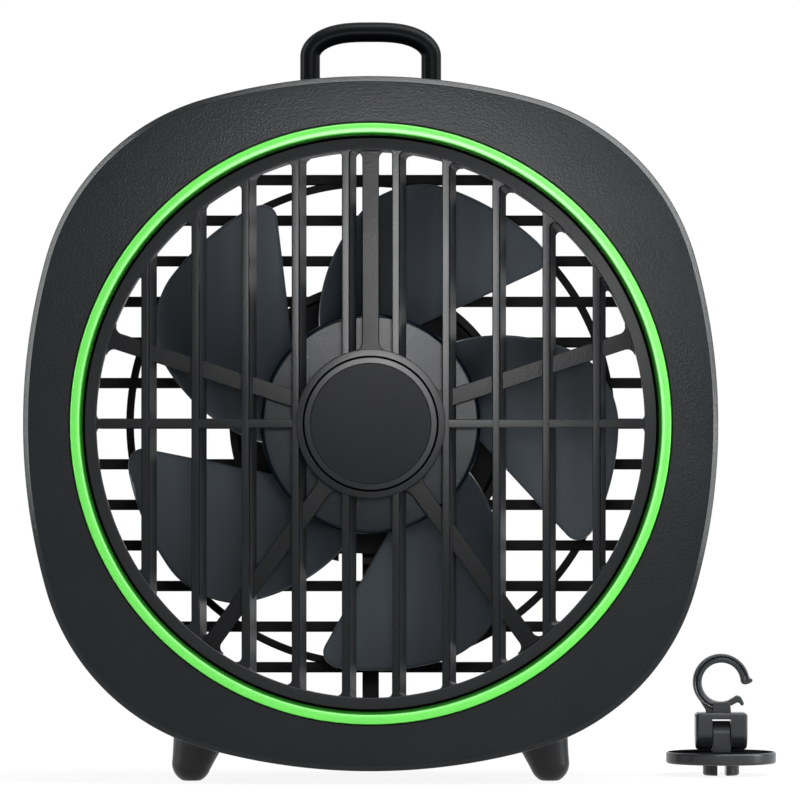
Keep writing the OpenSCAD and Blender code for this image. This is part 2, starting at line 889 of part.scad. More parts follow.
module rear_left_foot() {
    foot(-1, foot_y1);
}

module rear_right_foot() {
    foot(1, foot_y1);
}

// HOOK
// Disc with a split peg below and a lug above
module hook_base() {
    color("dimgray")
    difference() {
        union() {
            difference() {
                cylinder(r = peg_r, h = disc_z + 0.5);
                translate([-1.4, -10, -1])
                    cube([2.8, 20, disc_z + 1]);
            }
            translate([0, 0, disc_z])
                rotate_extrude()
                    union() {
                        square([disc_r - 0.8, disc_t]);
                        translate([0, 0.8])
                            square([disc_r, disc_t - 1.6]);
                        for (z = [0.8, disc_t - 0.8])
                            translate([disc_r - 0.8, z])
                                circle(r = 0.8);
                    }
            translate([-lug_w / 2, -4, disc_top - 0.5])
                cube([lug_w, 8, hook_pin_z - disc_top + 0.5]);
            translate([0, 0, hook_pin_z])
                rod_x(4, -lug_w / 2, lug_w / 2);
        }
        translate([0, 0, hook_pin_z])
            rod_x(pin_r + fit, -lug_w, lug_w);
    }
}

// Pin through block and lug
module hook_pin() {
    color("silver")
    translate([0, 0, hook_pin_z])
        rod_x(pin_r, -block_w / 2 + 0.4, block_w / 2 - 0.4);
}

// Flat shapes of the open ring, drawn about its middle
module hook_mouth() {
    polygon([[0, 0], [20 * cos(2), -20 * sin(2)], [20, -12], [20 * cos(42), -20 * sin(42)]]);
}

module hook_rib() {
    out = loop_r + loop_t;
    difference() {
        union() {
            circle(r = out);
            polygon([[-out * cos(30), -out * sin(30)], [-5.7, -out + 1.5], [-4.9, -out + 0.3],
                [-4.6, -out - 1.15], [-2, -out - 1.15], [-2, -loop_r]]);
        }
        circle(r = loop_r);
        hook_mouth();
    }
    polygon([[loop_r + 0.3, -0.4], [out - 0.5, -0.5], [out + 0.7, 0.4], [out + 1, 1.1],
        [out + 0.4, 1.4], [out - 0.4, 1.1], [loop_r + 0.6, 1.6]]);
    polygon([[3.6, -5.6], [4.7, -4.2], [5.6, -3.9], [6.2, -4.4], [7.2, -6.3], [6.5, -6.9],
        [5.5, -5.9], [4.2, -6.8]]);
}

module hook_band() {
    difference() {
        circle(r = loop_r + 0.55 * loop_t);
        circle(r = loop_r);
        hook_mouth();
    }
    translate([-2.9, -loop_r - loop_t - 1.15])
        square([6, loop_t + 0.7]);
}

// Forked block with the open ring on top
module hook() {
    color("dimgray")
    difference() {
        union() {
            difference() {
                union() {
                    translate([0, 0, hook_pin_z])
                        rod_x(pivot_r, -block_w / 2, block_w / 2);
                    translate([-block_w / 2, -pivot_r, hook_pin_z])
                        cube([block_w, 2 * pivot_r, block_top - hook_pin_z]);
                }
                translate([-lug_w / 2 - 0.35, -10, 0])
                    cube([lug_w + 0.7, 20, hook_pin_z + 4.6]);
            }
            slab(-loop_d * 0.3, loop_d * 0.3)
                translate([0, loop_z])
                    hook_rib();
            slab(-loop_d / 2, loop_d / 2)
                translate([0, loop_z])
                    hook_band();
        }
        translate([0, 0, hook_pin_z])
            rod_x(pin_r, -block_w, block_w);
    }
}

translate(fan_at) front_frame();
translate(fan_at) accent_ring();
translate(fan_at) front_grille();
translate(fan_at) grille_cap();
translate(fan_at) rear_shell();
translate(fan_at) rear_grille();
translate(fan_at) hub_cover();
translate(fan_at) impeller();
translate(fan_at) rotor_yoke();
translate(fan_at) rotor_magnet();
translate(fan_at) motor_shaft();
translate(fan_at) shaft_clip();
translate(fan_at) motor_base();
translate(fan_at) front_bearing();
translate(fan_at) rear_bearing();
translate(fan_at) stator_core();
translate(fan_at) stator_coils();
translate(fan_at) motor_board();
translate(fan_at) motor_screws();
translate(fan_at) housing_screws();
translate(fan_at) left_cell();
translate(fan_at) right_cell();
translate(fan_at) cell_contacts();
translate(fan_at) control_board();
translate(fan_at) power_switch();
translate(fan_at) switch_plunger();
translate(fan_at) power_button();
translate(fan_at) usb_socket();
translate(fan_at) handle();
translate(fan_at) handle_pins();
translate(fan_at) front_left_foot();
translate(fan_at) front_right_foot();
translate(fan_at) rear_left_foot();
translate(fan_at) rear_right_foot();
translate(hook_at) hook_base();
translate(hook_at) hook_pin();
translate(hook_at) hook();
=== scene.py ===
import math

import bmesh
import bpy
from mathutils import Matrix, Vector


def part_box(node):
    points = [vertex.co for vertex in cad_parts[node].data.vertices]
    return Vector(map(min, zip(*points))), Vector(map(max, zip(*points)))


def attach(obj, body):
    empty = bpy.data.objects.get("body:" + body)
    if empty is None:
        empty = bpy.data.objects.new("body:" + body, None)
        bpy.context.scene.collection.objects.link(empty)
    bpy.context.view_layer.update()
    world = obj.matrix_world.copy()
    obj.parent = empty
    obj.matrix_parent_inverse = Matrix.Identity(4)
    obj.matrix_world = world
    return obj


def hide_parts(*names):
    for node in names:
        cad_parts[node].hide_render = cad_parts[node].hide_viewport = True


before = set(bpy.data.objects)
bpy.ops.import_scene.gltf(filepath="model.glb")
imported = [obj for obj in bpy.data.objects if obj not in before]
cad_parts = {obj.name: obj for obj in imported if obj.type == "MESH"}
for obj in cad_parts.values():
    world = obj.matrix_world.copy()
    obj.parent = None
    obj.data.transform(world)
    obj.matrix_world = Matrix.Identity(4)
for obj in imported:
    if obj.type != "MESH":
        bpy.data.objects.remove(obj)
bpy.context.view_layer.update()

# Camera: level, on the fan's own axis and two metres before the frame's face, with a
# long lens. The shift sets the fan left of the middle and a little below it.
low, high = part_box("front_frame")
fan = Vector(((low.x + high.x) / 2, low.y, (low.z + high.z) / 2))
distance = 2
lens = bpy.data.cameras.new("camera")
lens.lens = 295.5
lens.shift_x, lens.shift_y = 0.0367, 0.0296
camera = bpy.data.objects.new("camera", lens)
camera.location = fan - Vector((0, distance, 0))
camera.rotation_euler = (math.pi / 2, 0, 0)
scene = bpy.context.scene
scene.collection.objects.link(camera)
scene.camera = camera
scene.view_settings.view_transform = "Standard"


# Studio: a pale floor in a plain white surround. Two small lamps and a panel light the grille
# from the front, a long lamp the top edge, and strips at both sides the frame's chamfer.
class Wire:
    """One socket of a finish. Sums and products of wires add Math nodes."""

    def __init__(self, tree, node=None, out=0):
        self.tree, self.node = tree, node
        self.socket = node.outputs[out] if node and node.outputs else None

    def add(self, kind, settings, inputs, out=0):
        """A new node of a kind: its settings first, then its sockets' values or links."""
        node = self.tree.nodes.new("ShaderNode" + kind)
        for key, value in settings.items():
            setattr(node, key, value)
        for key, value in inputs.items():
            if isinstance(value, Wire):
                self.tree.links.new(value.socket, node.inputs[key])
            else:
                node.inputs[key].default_value = value
        return Wire(self.tree, node, out)

    def other(self, out):
        """Another output of the same node."""
        return Wire(self.tree, self.node, out)

    def maths(self, operation, a, b):
        return self.add("Math", {"operation": operation}, {0: a, 1: b})

    def __add__(self, b):
        return self.maths("ADD", self, b)

    def __sub__(self, b):
        return self.maths("SUBTRACT", self, b)

    def __rsub__(self, a):
        return self.maths("SUBTRACT", a, self)

    def __mul__(self, b):
        return self.maths("MULTIPLY", self, b)

    __radd__ = __add__
    __rmul__ = __mul__


def background_rays(wire):
    """1 on the rays that show the surround itself: from the camera, in gloss and through glass."""
    ray = wire.add("LightPath", {}, {}, "Is Camera Ray")
    return ray + ray.other("Is Glossy Ray") + ray.other("Is Transmission Ray")


def blank_finish(name):
    """A new material with nothing in it, and the wire that builds it."""
    finish = bpy.data.materials.new(name)
    finish.use_nodes = True
    finish.node_tree.nodes.clear()
    return finish, Wire(finish.node_tree)


white = (1, 1, 1, 1)
world = bpy.data.worlds.new("surround")
world.use_nodes = True
world.node_tree.nodes.clear()
sky = Wire(world.node_tree)
soft_light = sky.add("Background", {}, {"Color": white, "Strength": 0.25})
backdrop = sky.add("Background", {}, {"Color": white, "Strength": 1.0})
both = sky.add("MixShader", {}, {0: background_rays(sky), 1: soft_light, 2: backdrop})
sky.add("OutputWorld", {}, {"Surface": both})
scene.world = world

floor_half, shadow_reach, floor_fade, glow_share = 4, 0.16, 0.5, 0.9
floor_paint, paint = blank_finish("floor_paint")
reach = paint.add("VectorMath", {"operation": "LENGTH"},
                  {0: paint.add("TexCoord", {}, {}, "Object")}, "Value")
far = paint.add("MapRange", {"interpolation_type": "SMOOTHSTEP"},
                {"Value": reach, "From Min": shadow_reach, "From Max": floor_fade})
matt = paint.add("BsdfDiffuse", {}, {"Color": (0.85, 0.85, 0.85, 1)})
glow = paint.add("Emission", {}, {"Color": white, "Strength": 1.0})
glowing = background_rays(paint) * (glow_share + far * (1 - glow_share))
both = paint.add("MixShader", {}, {0: glowing, 1: matt, 2: glow})
paint.add("OutputMaterial", {}, {"Surface": both})
floor_mesh = bpy.data.meshes.new("floor")
corners = [(a * floor_half, b * floor_half, 0) for a, b in ((-1, -1), (1, -1), (1, 1), (-1, 1))]
floor_mesh.from_pydata(corners, [], [(0, 1, 2, 3)])
floor_mesh.materials.append(floor_paint)
floor = bpy.data.objects.new("floor", floor_mesh)
scene.collection.objects.link(floor)


def lamp(name, power, size, place, aim=(0, 0, 0)):
    """An oval lamp in watts and metres, placed and aimed about the middle of the fan's face."""
    light = bpy.data.lights.new(name, "AREA")
    light.shape, light.energy = "ELLIPSE", power
    light.size, light.size_y = size
    holder = bpy.data.objects.new(name, light)
    way = (Vector(aim) - Vector(place)).normalized()
    deep = (Vector((0, 1, 0)) - way * way.y).normalized()
    turn = Matrix((deep.cross(-way), deep, -way)).transposed().to_4x4()
    holder.matrix_world = Matrix.Translation(fan + Vector(place)) @ turn
    holder.visible_camera = False
    scene.collection.objects.link(holder)


chamfer = (0, 0.01, 0)
lamp("front_lamp", power=0.62, size=(0.1, 0.1), place=(0.015, -0.6, 0.062))
lamp("low_lamp", power=0.064, size=(0.06, 0.06), place=(0.052, -0.6, 0.002))
lamp("side_panel", power=1.1, size=(0.3, 0.3), place=(0.29, -0.82, 0.18))
lamp("top_lamp", power=3.2, size=(0.9, 0.13), place=(0.17, -0.2, 0.55))
lamp("right_strip", power=7.6, size=(1.6, 0.12), place=(0.36, 0, 0.43), aim=chamfer)
lamp("low_strip", power=0.27, size=(0.13, 0.1), place=(0.36, 0, -0.045), aim=chamfer)
lamp("left_strip", power=2.5, size=(0.75, 0.1), place=(-0.51, 0, 0.2), aim=chamfer)


# Rear shell: the grained moulding that carries everything, with the air duct, eight screw
# wells, the handle's bay and ears, and the bosses under the feet. Injection moulded.
def round_square(inset, count=432):
    """The body's outline of bowed sides and round corners, drawn in by an inset."""
    bow, bow_centre = 187.493, -81.493
    corner, corner_centre = 70.002, 31.655
    corner_from = math.atan2(corner_centre, corner_centre - bow_centre)
    loop = []
    for i in range(count):
        a = 2 * math.pi * i / count
        fold = a % (math.pi / 2)
        fold = min(fold, math.pi / 2 - fold)
        c, s = math.cos(fold), math.sin(fold)
        r = bow_centre * c + math.sqrt((bow - inset) ** 2 - (bow_centre * s) ** 2)
        if math.atan2(r * s, r * c - bow_centre) > corner_from:
            near = corner_centre * (c + s)
            r = near + math.sqrt((corner - inset) ** 2 - 2 * corner_centre ** 2 + near ** 2)
        loop.append((r * math.cos(a), r * math.sin(a)))
    return loop


def round_hole(radius, count=432):
    """A circle about the fan's axis."""
    turns = [2 * math.pi * i / count for i in range(count)]
    return [(radius * math.cos(a), radius * math.sin(a)) for a in turns]


def between(a, b, t):
    """A loop part of the way from one loop to another."""
    return [(p[0] + (q[0] - p[0]) * t, p[1] + (q[1] - p[1]) * t) for p, q in zip(a, b)]


def ring(loop, y):
    """A flat loop set at a depth behind the frame's face."""
    return [(x, y, z) for x, z in loop]


def round_rows(profile):
    """Rings for a list of (radius, depth)."""
    return [ring(round_hole(r), y) for r, y in profile]


def square_rows(profile):
    """Rings of the body's outline for a list of (inset, depth)."""
    return [ring(round_square(inset), y) for inset, y in profile]


def skin(rings, closed=True):
    """Points and faces over rings of one count; a skin that isn't closed gets flat ends."""
    n, rows = len(rings[0]), len(rings)
    faces = []
    for i in range(rows if closed else rows - 1):
        a, b = i * n, (i + 1) % rows * n
        faces += [(a + j, a + (j + 1) % n, b + (j + 1) % n, b + j) for j in range(n)]
    if not closed:
        faces += [tuple(range(n)), tuple(range(rows * n - 1, (rows - 1) * n - 1, -1))]
    return [p for row in rings for p in row], faces


def soft(corners, steps=4):
    """A closed flat loop with each corner (a, b, radius) turned into an arc."""
    straight, most = 1.56, 0.48
    loop = []
    for i, (a, b, radius) in enumerate(corners):
        here = Vector((a, b))
        back = Vector(corners[i - 1][:2]) - here
        on = Vector(corners[(i + 1) % len(corners)][:2]) - here
        half = back.angle(on) / 2 if radius else 0
        if not radius or half > straight:
            loop.append((a, b))
            continue
        reach = min(radius / math.tan(half), most * back.length, most * on.length)
        radius = reach * math.tan(half)
        inward = (back.normalized() + on.normalized()).normalized()
        middle = here + inward * radius / math.sin(half)
        first = here + back.normalized() * reach - middle
        last = here + on.normalized() * reach - middle
        sweep = first.angle_signed(last)
        for k in range(steps + 1):
            turn = Matrix.Rotation(-sweep * k / steps, 2) @ first
            loop.append(tuple(middle + turn))
    return loop


def turned(profile, count=256):
    """A turned piece on the fan's axis from a closed loop of (radius, depth)."""
    return skin([ring(round_hole(max(r, 0), count), y) for r, y in profile])


def moved(shape, place):
    """A shape carried by a matrix."""
    return [tuple(place @ Vector(p)) for p in shape[0]], shape[1]


def beside(shape, x, z):
    """A shape moved across the face, its depth kept."""
    return moved(shape, Matrix.Translation((x, 0, z)))


def merged(*shapes):
    """Several shapes in one, each still closed by itself."""
    points, faces = [], []
    for part, sides in shapes:
        faces += [tuple(i + len(points) for i in face) for face in sides]
        points += part
    return points, faces


def cleaned(shape):
    """A bmesh of a shape with doubled points joined and normals outwards."""
    form = bmesh.new()
    points = [form.verts.new(p) for p in shape[0]]
    for face in shape[1]:
        form.faces.new([points[i] for i in face])
    bmesh.ops.remove_doubles(form, verts=form.verts, dist=1e-4)
    bmesh.ops.dissolve_degenerate(form, edges=form.edges, dist=1e-5)
    bmesh.ops.recalc_face_normals(form, faces=form.faces)
    return form


def carved(shape, cutter):
    """A closed shape less a closed cutter."""
    blanks = []
    for part in (shape, cutter):
        mesh = bpy.data.meshes.new("blank")
        form = cleaned(part)
        form.to_mesh(mesh)
        form.free()
        blanks.append(bpy.data.objects.new("blank", mesh))
        scene.collection.objects.link(blanks[-1])
    cut = blanks[0].modifiers.new("cut", "BOOLEAN")
    cut.operation, cut.solver, cut.object = "DIFFERENCE", "EXACT", blanks[1]
    result = bpy.data.meshes.new_from_object(
        blanks[0].evaluated_get(bpy.context.evaluated_depsgraph_get()))
    left = [tuple(v.co) for v in result.vertices], [tuple(f.vertices) for f in result.polygons]
    for blank in blanks:
        bpy.data.objects.remove(blank)
    return left


def piece(name, shape, finish, body, nodes, at=fan, crease=28):
    """A finished piece from a shape in millimetres about the fan's axis or the hook's."""
    form = cleaned(shape)
    for v in form.verts:
        v.co = at + v.co / 1000
    mesh = bpy.data.meshes.new(name)
    form.to_mesh(mesh)
    form.free()
    mesh.shade_smooth()
    mesh.set_sharp_from_angle(angle=math.radians(crease))
    mesh.materials.append(finish)
    thing = bpy.data.objects.new(name, mesh)
    scene.collection.objects.link(thing)
    thing.modifiers.new("flat_faces", "WEIGHTED_NORMAL").keep_sharp = True
    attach(thing, body)
    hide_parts(*nodes)


def opaque(colour, share=1):
    """A colour for a socket, made darker or paler by a share."""
    return [c * share for c in colour] + [1]


def mixed(wire, share, first, second):
    """A colour between two, by a share from 0 to 1."""
    return wire.add("Mix", {"data_type": "RGBA"}, {0: share, 6: first, 7: second}, 2)


def plastic(name, colour, rough, gloss, cell, depth, edge=None, painted_depth_shade=None):
    """Moulded plastic: flow marks in its tone, the mould's grain by cell and depth in mm.

    The edge colour is a painted highlight along sharp edges. The shade by depth gives a front
    and a rear depth in mm and the share of the tone at each: painted shade and light, darker at the
    front, paler at the rear.
    """
    patch, rough_spread = 0.12, 0.14
    highlight_from, highlight_to = 0.518, 0.533
    finish, wire = blank_finish(name)
    where = wire.add("TexCoord", {}, {}, "Object")
    flow = wire.add("TexNoise", {}, {"Vector": where, "Scale": 38.0, "Detail": 4.0})
    pits = wire.add("TexVoronoi", {"feature": "SMOOTH_F1"},
                    {"Vector": where, "Scale": 1000 / cell, "Smoothness": 0.7})
    dust = wire.add("TexNoise", {}, {"Vector": where, "Scale": 1900 / cell, "Detail": 2.0})
    tone = flow * 0.6 + dust * 0.4
    shade = mixed(wire, tone, opaque(colour, 1 - patch), opaque(colour, 1 + patch))
    # painted shade and light: the tone is darkened towards the front depth and paled towards the
    # rear one
    if painted_depth_shade:
        front_y, rear_y, front, rear = painted_depth_shade
        painted_shade_mask = wire.add("MapRange", {"interpolation_type": "SMOOTHSTEP"}, {
            "Value": wire.add("SeparateXYZ", {}, {0: where}, "Y"),
            "From Min": fan.y + front_y / 1000, "From Max": fan.y + rear_y / 1000})
        share = painted_shade_mask * (rear - front) + front
        shade = wire.add("VectorMath", {"operation": "SCALE"}, {0: shade, "Scale": share})
    # painted highlight: the edge colour is laid along sharp edges by pointiness
    if edge:
        painted_highlight_mask = wire.add("MapRange", {}, {
            "Value": wire.add("NewGeometry", {}, {}, "Pointiness"),
            "From Min": highlight_from, "From Max": highlight_to})
        shade = mixed(wire, painted_highlight_mask, shade, opaque(edge))
    relief = pits * 0.8 + dust * 0.7
    bump = wire.add("Bump", {}, {"Height": relief, "Distance": depth / 1000, "Strength": 1.0})
    coat = wire.add("BsdfPrincipled", {}, {
        "Base Color": shade, "Roughness": rough + (flow - 0.5) * rough_spread, "Normal": bump,
        "Specular IOR Level": gloss})
    wire.add("OutputMaterial", {}, {"Surface": coat})
    return finish


shell_plastic = plastic("shell_plastic", (0.008, 0.0082, 0.0089),
                        rough=0.34, gloss=0.16, cell=0.75, depth=0.03)
back_y, recess_y, duct_y = 66, 62.5, 13.4
back_rim, edge_inset, edge_round, wall = 89.8, 13.5, 7, 2
edge_y, inner_round = back_y - edge_round, edge_round - wall
quarter = [k * math.pi / 16 for k in range(9)]
rings = round_rows([(84.4, duct_y), (86.6, recess_y), (89.3, recess_y), (89.3, 65.5),
                    (89.45, 65.85), (back_rim, back_y)])
rings += [ring(between(round_hole(back_rim), round_square(edge_inset), t), back_y)
          for t in (0.35, 0.7)]
rings += square_rows([(edge_inset - edge_round * math.cos(a), edge_y + edge_round * math.sin(a))
                      for a in quarter[::-1]])
rings += square_rows([(6.3, 34), (6.1, 8), (8.1, 8)])
rings += square_rows([(edge_inset - inner_round * math.cos(a), edge_y + inner_round * math.sin(a))
                      for a in quarter])
rings += round_rows([(91.5, 64), (91.5, 60), (88.4, 60), (86.2, duct_y)])
shell = skin(rings)
cut_floor, cut_end = 58, 68


def well(radius, mouth, count):
    """A cutter for a round well in the back, with a mouth chamfered by so much."""
    wide = radius + mouth
    return turned([(0, cut_floor), (radius, cut_floor), (radius, back_y - mouth), (wide, back_y),
                   (wide, cut_end), (0, cut_end)], count)


def stadium(w, h, y):
    """A level slot with round ends at a depth, by its half width and half height."""
    return ring(soft([(w, h, h), (-w, h, h), (-w, -h, h), (w, -h, h)], 8), y)


def level_block(half, y0, y1, corner, steps, z0, z1):
    """A block with rounded upright corners, between two depths and two heights."""
    plan = soft([(half, y0, corner), (half, y1, corner), (-half, y1, corner),
                 (-half, y0, corner)], steps)
    return skin([[(x, y, z) for x, y in plan] for z in (z0, z1)], False)


well_ring = 96
wells = [(well_ring * math.cos(math.radians(a)), well_ring * math.sin(math.radians(a)))
         for q in range(4) for a in (90 * q + 26, 90 * q + 64)]
shell = carved(shell, merged(*[beside(well(3.3, 0.6, 40), x, z) for x, z in wells]))
button_x, button_z, inlet_x, inlet_z = 63.83, 73.73, 74.79, 62.77
shell = carved(shell, beside(well(4.6, 0.7, 64), button_x, button_z))
slant = Matrix.Rotation(math.radians(45), 4, "Y")
inlet_place = Matrix.Translation((inlet_x, 0, inlet_z)) @ slant
opening = skin([stadium(4.7, 1.85, cut_floor), stadium(4.7, 1.85, 65.5),
                stadium(5.2, 2.35, back_y), stadium(5.2, 2.35, cut_end)], False)
shell = carved(shell, moved(opening, inlet_place))
bay_floor = 97.6
shell = carved(shell, level_block(22.2, 21, 53.3, 2, 5, bay_floor - 0.2, 120))
bay = level_block(25, 19, 55.3, 1, 4, 95.4, bay_floor)
tube = turned([(1.6, 21.6), (4.4, 21.6), (4.4, 63.9), (3.3, 63.9), (3.3, 24), (1.6, 24)], 40)
tubes = [beside(tube, x, z) for x, z in wells]


def drawn_in(loop, d):
    """A flat loop moved inwards by a distance; the loop runs against the clock."""
    least = 0.35
    inner = []
    for i, p in enumerate(loop):
        a = Vector(p) - Vector(loop[i - 1])
        b = Vector(loop[(i + 1) % len(loop)]) - Vector(p)
        a, b = a.normalized(), b.normalized()
        way = Vector((-a.y - b.y, a.x + b.x))
        if way.length < 1e-6:
            way = Vector((-a.y, a.x))
        way.normalize()
        stretch = max(way.dot(Vector((-a.y, a.x))), least)
        inner.append(tuple(Vector(p) + way * d / stretch))
    return inner


def plate(front, rear, y0, y1, edge, place=None):
    """A flat loop given depth, from its front loop to its rear one, with rounded edges."""
    area = sum(a[0] * b[1] - b[0] * a[1] for a, b in zip(front, front[1:] + front[:1]))
    if area < 0:
        front, rear = front[::-1], rear[::-1]
    turns = [math.pi * k / 8 for k in range(5)]
    rows = [ring(drawn_in(front, edge * (1 - math.sin(a))), y0 + edge * (1 - math.cos(a)))
            for a in turns]
    rows += [ring(drawn_in(rear, edge * (1 - math.cos(a))), y1 - edge * (1 - math.sin(a)))
             for a in turns]
    shape = skin(rows, False)
    return moved(shape, place) if place else shape


def foot_place(s, y, turn=0):
    """Where a foot meets the shell's bottom at a depth, leaning outwards to side s."""
    foot_x, foot_z, foot_lean = 52.6, -95.47, 16
    return (Matrix.Translation((s * foot_x, y, foot_z))
            @ Matrix.Rotation(math.radians(turn - s * foot_lean), 4, "Y") @ on_end)


sideways = Matrix(((0, 1, 0, 0), (1, 0, 0, 0), (0, 0, 1, 0), (0, 0, 0, 1)))
on_end = Matrix.Rotation(math.radians(90), 4, "X")
half_turn = [math.pi * k / 16 for k in range(17)]
hinge_y, hinge_z, ear_round, ear_foot, ear_thick = 28, 101.2, 3.3, 95.6, 3.2
ear = [(hinge_y + ear_round * math.cos(a), hinge_z + ear_round * math.sin(a)) for a in half_turn]
ear += [(hinge_y - ear_round, ear_foot), (hinge_y + ear_round, ear_foot)]
ears = [plate(ear, ear, x, x + ear_thick, 0.4, sideways) for x in (22.2, -25.4)]
front_feet_y, rear_feet_y = 25, 54
boss = turned(soft([(2.9, 0, 0), (8, 0, 0.6), (8, 8, 0), (2.9, 8, 0)]), 72)
bosses = [moved(boss, foot_place(s, y)) for y in (front_feet_y, rear_feet_y) for s in (-1, 1)]
piece("shell_moulding", merged(shell, bay, *tubes, *ears, *bosses), shell_plastic,
      "housing", ["rear_shell"])


# Long screws: eight cross-head steel screws, driven from the back into the front frame's
# pillars. They keep their turned shape and are plated bright.
def dress(node, finish):
    """A CAD piece keeps its shape and takes a finish."""
    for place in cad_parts[node].material_slots:
        place.material = finish


def metal(name, colour, rough, brushed):
    """Bare or plated metal with fine marks along one way."""
    rough_spread, mark_depth = 0.16, 0.00002
    finish, wire = blank_finish(name)
    where = wire.add("TexCoord", {}, {}, "Object")
    long = wire.add("Mapping", {}, {"Vector": where, "Scale": brushed})
    marks = wire.add("TexNoise", {}, {"Vector": long, "Scale": 900.0, "Detail": 3.0})
    dull = wire.add("TexNoise", {}, {"Vector": where, "Scale": 120.0, "Detail": 3.0})
    shade = mixed(wire, marks * 0.5 + dull * 0.5, opaque(colour, 0.8), opaque(colour))
    bump = wire.add("Bump", {}, {"Height": marks, "Distance": mark_depth, "Strength": 0.6})
    coat = wire.add("BsdfPrincipled", {}, {
        "Base Color": shade, "Metallic": 1.0, "Roughness": rough + (dull - 0.5) * rough_spread,
        "Normal": bump})
    wire.add("OutputMaterial", {}, {"Surface": coat})
    return finish


steel = metal("bright_steel", (0.62, 0.62, 0.64), rough=0.32, brushed=(1, 8, 1))
dress("housing_screws", steel)

# Rear grille: one black moulding of thirteen level bars, two rings, an upright cable
# channel and the hub wall that the motor bolts to. It drops into the shell's recess.
rear_black = plastic("rear_black", (0.006, 0.0061, 0.0065),
                     rough=0.45, gloss=0.1, cell=0.7, depth=0.03)
parts = [turned(soft([(86.4, recess_y, 0.3), (89, recess_y, 0.3), (89, back_y, 0.7),
                      (86.4, back_y, 0.7)]), 288),
         turned(soft([(74.4, 62.6, 0.4), (76.8, 62.6, 0.4), (76.8, 65.4, 0.6),
                      (74.4, 65.4, 0.6)]), 240)]
bar_pitch, bar_half, bar_front, bar_rear = 12.756, 1.65, 62.5, 65.5
hub_end, rim_end, hub_reach = 43, 87.6, 41
for k in range(-6, 7):
    z = k * bar_pitch
    section = soft([(bar_front, z - bar_half, 0.5), (bar_rear, z - bar_half, 0.6),
                    (bar_rear, z + bar_half, 0.6), (bar_front, z + bar_half, 0.5)])
    spans = [((-1, rim_end), (1, rim_end))]
    if abs(z) < hub_reach:
        spans = [((1, hub_end), (1, rim_end)), ((-1, rim_end), (-1, hub_end))]
    for ends in spans:
        parts.append(skin([[(s * math.sqrt(r * r - h * h), y, h) for y, h in section]
                           for s, r in ends], False))
section = soft([(62.55, -2.6, 0.5), (65.45, -2.6, 0.8), (65.45, 2.6, 0.8), (62.55, 2.6, 0.5)])
for ends in ((42.4, 87.2), (-87.2, -42.4)):
    parts.append(skin([[(x, y, z) for y, x in section] for z in ends], False))
hub_wall = turned(soft([
    (0, 55.5, 0), (41.6, 55.5, 0.4), (41.6, 49, 0.3), (44.1, 49, 0.3), (44.1, 65.6, 0.6),
    (41.6, 65.6, 0.3), (41.6, 58, 0), (0, 58, 0)]), 240)
notch_x, notch_half, notch_top, notch_end = 6.3, 3.7, -40.6, -47
sides = []
for s in (-1, 1):
    right, left = s * notch_x + notch_half, s * notch_x - notch_half
    outline = soft([(right, notch_top, 0.5), (left, notch_top, 0.5), (left, notch_end, 0),
                    (right, notch_end, 0)])
    sides.append(skin([ring(outline, y) for y in (46, 70)], False))
notches = merged(*sides)
parts.append(carved(hub_wall, notches))
piece("rear_grille_moulding", merged(*parts), rear_black,
      "housing", ["rear_grille"])

# Hub cover: a plain round lid over the motor's back, with the blind socket that takes the
# hook's peg. It snaps into the hub wall.
lid = turned(soft([
    (5.8, 60.5, 0), (5.8, 65.6, 0.3), (6.6, 66, 0.3), (8.6, 66, 0.3), (9.1, 65.5, 0.3),
    (10.4, 65.5, 0.3), (10.9, 66, 0.3), (40.4, 66, 0.4), (41.5, 65, 0.5), (41.5, 58, 0),
    (40.1, 58, 0), (40.1, 63, 0.5), (8.4, 63, 0.5), (8.4, 58, 0), (0, 58, 0), (0, 60.5, 0)]), 240)
piece("hub_lid", carved(lid, notches), rear_black, "housing", ["hub_cover"])

# Motor: a black plate with the bearing tube, the slotted core and its windings, a round
# board, and three screws through the hub. The plate's rim shows round the impeller.
dress("motor_base", plastic("motor_paint", (0.008, 0.0082, 0.009),
                            rough=0.5, gloss=0.06, cell=1.6, depth=0.02))
dress("stator_core", metal("core_steel", (0.4, 0.4, 0.42), rough=0.45, brushed=(1, 30, 1)))
dress("stator_coils", metal("winding_copper", (0.66, 0.3, 0.14), rough=0.3, brushed=(6, 1, 6)))
board_green = plastic("board_green", (0.016, 0.13, 0.05),
                      rough=0.3, gloss=0.5, cell=2.5, depth=0.01)
dress("motor_board", board_green)
for node in ("motor_screws", "front_bearing", "rear_bearing", "motor_shaft", "shaft_clip",
             "rotor_yoke"):
    dress(node, steel)
dress("rotor_magnet", metal("magnet_grey", (0.16, 0.16, 0.17), rough=0.55, brushed=(1, 1, 1)))

# Impeller: a hub cup with five broad swept blades in one satin moulding. The hub's face
# carries the grain; the blades are smoother. The blades' tone is painted shade and light,
# darker towards the front edge and paler towards the straight rear edge, and the pale lines
# along hub and blade edges are painted highlights.
# the hub's pale edge colour is a painted highlight
hub_plastic = plastic("hub_plastic", (0.004, 0.0085, 0.014), rough=0.14, gloss=0.135, cell=0.5,
                      depth=0.016, edge=(0.16, 0.17, 0.18))
hub_radius = 33.8
hub = turned(soft([
    (0, 14.5, 0), (hub_radius, 14.5, 1.3), (hub_radius, 42, 0.3), (31.3, 42, 0.2), (31.3, 38.5, 0),
    (28.5, 38.5, 0), (28.5, 24.5, 0), (31.3, 22.5, 0), (31.3, 16.7, 0), (0, 16.7, 0)], 8), 288)


